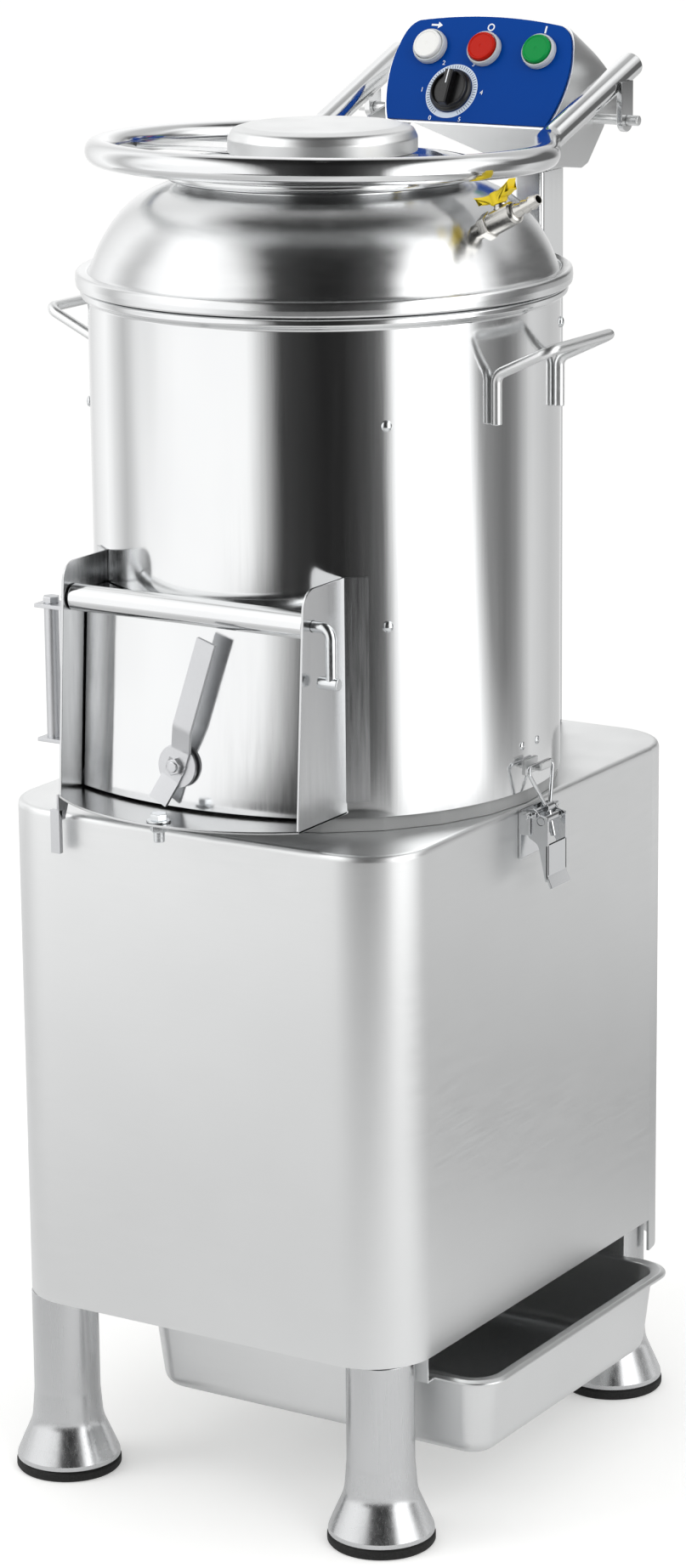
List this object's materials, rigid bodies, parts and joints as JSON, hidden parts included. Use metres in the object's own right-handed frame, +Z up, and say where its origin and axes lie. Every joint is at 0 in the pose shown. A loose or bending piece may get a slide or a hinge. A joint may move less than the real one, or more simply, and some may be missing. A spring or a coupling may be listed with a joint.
{
  "type": "potato peeler machine",
  "caption": "Floor-standing drum peeler: steel cabinet on bell-footed legs, lift-off barrel with abrasive disc, hinged lid, outlet chute, control head on a post and sliding catch tray.",
  "frame": {"origin": "on the floor, under the middle of the machine's whole outline", "axes": "+Z up, -Y the front with the outlet chute, +X the right side from which the tray slides out"},
  "size_m": [0.4438, 0.563, 1.0833],
  "materials": {
    "satin_steel": "satin ground stainless sheet",
    "polished_steel": "polished stainless",
    "brushed_steel": "brushed stainless",
    "zinc_steel": "bright zinc and nickel plated",
    "cast_metal": "rough cast, oiled",
    "motor_paint": "grey-blue machine paint",
    "black_rubber": "matt",
    "black_plastic": "satin",
    "blue_panel": "printed film, satin",
    "abrasive_grit": "coarse bonded grit",
    "clear_plastic": "clear moulded",
    "white_plastic": "gloss",
    "red_plastic": "gloss",
    "green_plastic": "gloss",
    "yellow_plastic": "moulded"
  },
  "bodies": {
    "root": {"cabinet_shell": "satin_steel", "rear_cover": "satin_steel", "hinge_bracket_left": "satin_steel", "hinge_bracket_right": "satin_steel", "control_box": "satin_steel", "outlet_chute": "satin_steel", "barrel_shell": "polished_steel", "dome_cover": "polished_steel", "side_handle_left": "polished_steel", "side_handle_right": "polished_steel", "post": "polished_steel", "leg_front_left": "brushed_steel", "leg_front_right": "brushed_steel", "leg_rear_left": "brushed_steel", "leg_rear_right": "brushed_steel", "tray_runner_front": "brushed_steel", "tray_runner_rear": "brushed_steel", "drain_pan": "brushed_steel", "motor_bracket": "brushed_steel", "lower_bearing": "zinc_steel", "upper_bearing": "zinc_steel", "water_valve": "zinc_steel", "striker_bolt": "zinc_steel", "chute_stay": "zinc_steel", "latch_base_left": "zinc_steel", "latch_base_right": "zinc_steel", "bearing_housing": "cast_metal", "motor": "motor_paint", "foot_pad_front_left": "black_rubber", "foot_pad_front_right": "black_rubber", "foot_pad_rear_left": "black_rubber", "foot_pad_rear_right": "black_rubber", "v_belt": "black_rubber", "barrel_seat_ring": "black_rubber", "control_panel": "blue_panel", "abrasive_liner": "abrasive_grit", "discharge_bezel": "clear_plastic", "stop_bezel": "clear_plastic", "start_bezel": "clear_plastic"},
    "rotor": {"drive_shaft": "brushed_steel", "large_pulley": "cast_metal", "abrasive_disc": "abrasive_grit", "disc_lock_nut": "polished_steel"},
    "motor_rotor": {"motor_pulley": "cast_metal"},
    "lid": {"lid": "polished_steel", "lid_cap": "polished_steel", "hoop_handle": "polished_steel"},
    "door": {"outlet_door": "polished_steel", "door_pin": "brushed_steel"},
    "door_lever": {"door_lever": "satin_steel"},
    "tray": {"catch_tray": "satin_steel"},
    "discharge_button": {"discharge_button": "white_plastic"},
    "stop_button": {"stop_button": "red_plastic"},
    "start_button": {"start_button": "green_plastic"},
    "timer_knob": {"timer_knob": "black_plastic"},
    "valve_handle": {"valve_handle": "yellow_plastic"},
    "latch_lever_left": {"latch_lever_left": "zinc_steel"},
    "latch_lever_right": {"latch_lever_right": "zinc_steel"},
    "latch_bail_left": {"latch_bail_left": "zinc_steel"},
    "latch_bail_right": {"latch_bail_right": "zinc_steel"}
  },
  "joints": [
    {"name": "rotor_spin", "type": "hinge", "parent": "root", "child": "rotor", "pos_m": [0, -0.0385, 0.43], "axis": [0, 0, 1], "continuous": true},
    {"name": "motor_spin", "type": "hinge", "parent": "root", "child": "motor_rotor", "pos_m": [0, 0.1265, 0.303], "axis": [0, 0, 1], "continuous": true},
    {"name": "lid_hinge", "type": "hinge", "parent": "root", "child": "lid", "pos_m": [0, 0.2175, 1.008], "axis": [-1, 0, 0], "range_deg": [0, 100]},
    {"name": "door_hinge", "type": "hinge", "parent": "root", "child": "door", "pos_m": [0, -0.2245, 0.695], "axis": [-1, 0, 0], "range_deg": [0, 75]},
    {"name": "lever_turn", "type": "hinge", "parent": "door", "child": "door_lever", "pos_m": [-0.003, -0.23636, 0.583], "axis": [0, 0.9976, -0.0688], "range_deg": [0, 70]},
    {"name": "tray_slide", "type": "slide", "parent": "root", "child": "tray", "axis": [1, 0, 0], "range_m": [-0.043, 0.25]},
    {"name": "timer_knob_turn", "type": "hinge", "parent": "root", "child": "timer_knob", "pos_m": [-0.0188, 0.18065, 1.02723], "axis": [0, 0.8746, -0.4848], "range_deg": [0, 300]},
    {"name": "valve_turn", "type": "hinge", "parent": "root", "child": "valve_handle", "pos_m": [0.17501, -0.0757, 0.97058], "axis": [-0.4288, 0.0911, 0.8988], "range_deg": [0, 90]},
    {"name": "discharge_press", "type": "slide", "parent": "root", "child": "discharge_button", "axis": [0, 0.8746, -0.4848], "range_m": [0, 0.003], "stiffness_N_per_m": 400},
    {"name": "stop_press", "type": "slide", "parent": "root", "child": "stop_button", "axis": [0, 0.8746, -0.4848], "range_m": [0, 0.003], "stiffness_N_per_m": 400},
    {"name": "start_press", "type": "slide", "parent": "root", "child": "start_button", "axis": [0, 0.8746, -0.4848], "range_m": [0, 0.003], "stiffness_N_per_m": 400},
    {"name": "latch_right", "type": "hinge", "parent": "root", "child": "latch_lever_right", "pos_m": [0.184, -0.0385, 0.5285], "axis": [0, -1, 0], "range_deg": [0, 95]},
    {"name": "latch_bail_turn_right", "type": "hinge", "parent": "latch_lever_right", "child": "latch_bail_right", "pos_m": [0.19197, -0.0385, 0.5239], "axis": [0, -1, 0], "range_deg": [-97, 0]},
    {"name": "latch_left", "type": "hinge", "parent": "root", "child": "latch_lever_left", "pos_m": [-0.184, -0.0385, 0.5285], "axis": [0, 1, 0], "range_deg": [0, 95]},
    {"name": "latch_bail_turn_left", "type": "hinge", "parent": "latch_lever_left", "child": "latch_bail_left", "pos_m": [-0.19197, -0.0385, 0.5239], "axis": [0, 1, 0], "range_deg": [-97, 0]}
  ],
  "couplings": [
    {"joint": "motor_spin", "follows": "rotor_spin", "ratio": 4.0233},
    {"joint": "latch_bail_turn_right", "follows": "latch_right", "ratio": -1.02},
    {"joint": "latch_bail_turn_left", "follows": "latch_left", "ratio": -1.02}
  ]
}
